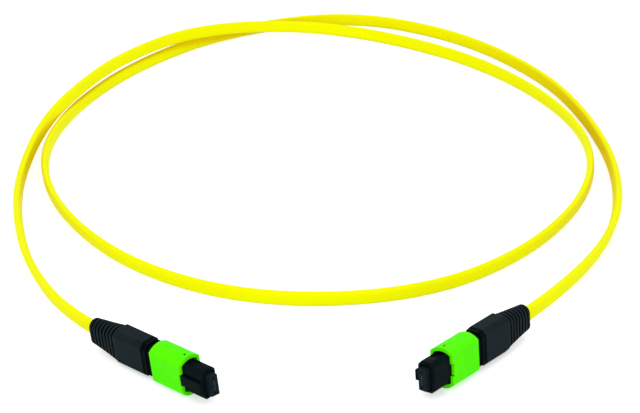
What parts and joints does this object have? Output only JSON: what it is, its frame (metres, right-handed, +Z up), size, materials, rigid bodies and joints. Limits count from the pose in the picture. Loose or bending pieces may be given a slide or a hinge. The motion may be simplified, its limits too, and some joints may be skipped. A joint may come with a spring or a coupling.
{
  "type": "fibre patch lead",
  "caption": "Coiled flat fibre-optic patch lead with a push-pull multi-fibre plug, sprung sleeve and ribbed boot on each end.",
  "frame": {"origin": "on the surface the lead lies on, below the middle of the box round the two connectors", "axes": "+X from the left connector towards the right one, +Y away from the plugs towards the coil, +Z up"},
  "size_m": [0.2094, 0.328, 0.0126],
  "materials": {
    "jacket": "smooth, slightly satin yellow jacket",
    "housing": "moulded black, satin",
    "rear_housing": "moulded black, satin",
    "crimp_metal": "crimped metal ring",
    "boot_rubber": "blue-black, fine matt",
    "spring_steel": "bright spring wire",
    "coated_fibre": "coated fibres side by side",
    "sleeve_plastic": "bright green, smooth",
    "ferrule_plastic": "dark glass-filled moulding, polished face",
    "keeper_metal": "stamped metal",
    "soft_boot": "soft black"
  },
  "bodies": {
    "lead": {"cable_jacket": "jacket", "inner_housing_left": "housing", "spring_push_left": "rear_housing", "crimp_ring_left": "crimp_metal", "strain_relief_left": "boot_rubber", "ferrule_spring_left": "spring_steel", "sleeve_spring_upper_left": "spring_steel", "sleeve_spring_lower_left": "spring_steel", "fibre_ribbon_left": "coated_fibre", "inner_housing_right": "housing", "spring_push_right": "rear_housing", "crimp_ring_right": "crimp_metal", "strain_relief_right": "boot_rubber", "ferrule_spring_right": "spring_steel", "sleeve_spring_upper_right": "spring_steel", "sleeve_spring_lower_right": "spring_steel", "fibre_ribbon_right": "coated_fibre"},
    "sleeve_left": {"coupling_sleeve_left": "sleeve_plastic"},
    "ferrule_left": {"mt_ferrule_left": "ferrule_plastic", "pin_keeper_left": "keeper_metal", "ferrule_boot_left": "soft_boot"},
    "sleeve_right": {"coupling_sleeve_right": "sleeve_plastic"},
    "ferrule_right": {"mt_ferrule_right": "ferrule_plastic", "pin_keeper_right": "keeper_metal", "ferrule_boot_right": "soft_boot"}
  },
  "joints": [
    {"name": "sleeve_slide_left", "type": "slide", "parent": "lead", "child": "sleeve_left", "axis": [-0.7181, 0.6958, -0.014], "range_m": [0, 0.0019], "stiffness_N_per_m": 1000, "deforming": ["sleeve_spring_upper_left", "sleeve_spring_lower_left"]},
    {"name": "ferrule_slide_left", "type": "slide", "parent": "lead", "child": "ferrule_left", "axis": [-0.7181, 0.6958, -0.014], "range_m": [0, 0.001], "stiffness_N_per_m": 5000, "deforming": ["ferrule_spring_left", "fibre_ribbon_left"]},
    {"name": "sleeve_slide_right", "type": "slide", "parent": "lead", "child": "sleeve_right", "axis": [0.6347, 0.7727, -0.014], "range_m": [0, 0.0019], "stiffness_N_per_m": 1000, "deforming": ["sleeve_spring_upper_right", "sleeve_spring_lower_right"]},
    {"name": "ferrule_slide_right", "type": "slide", "parent": "lead", "child": "ferrule_right", "axis": [0.6347, 0.7727, -0.014], "range_m": [0, 0.001], "stiffness_N_per_m": 5000, "deforming": ["ferrule_spring_right", "fibre_ribbon_right"]}
  ]
}
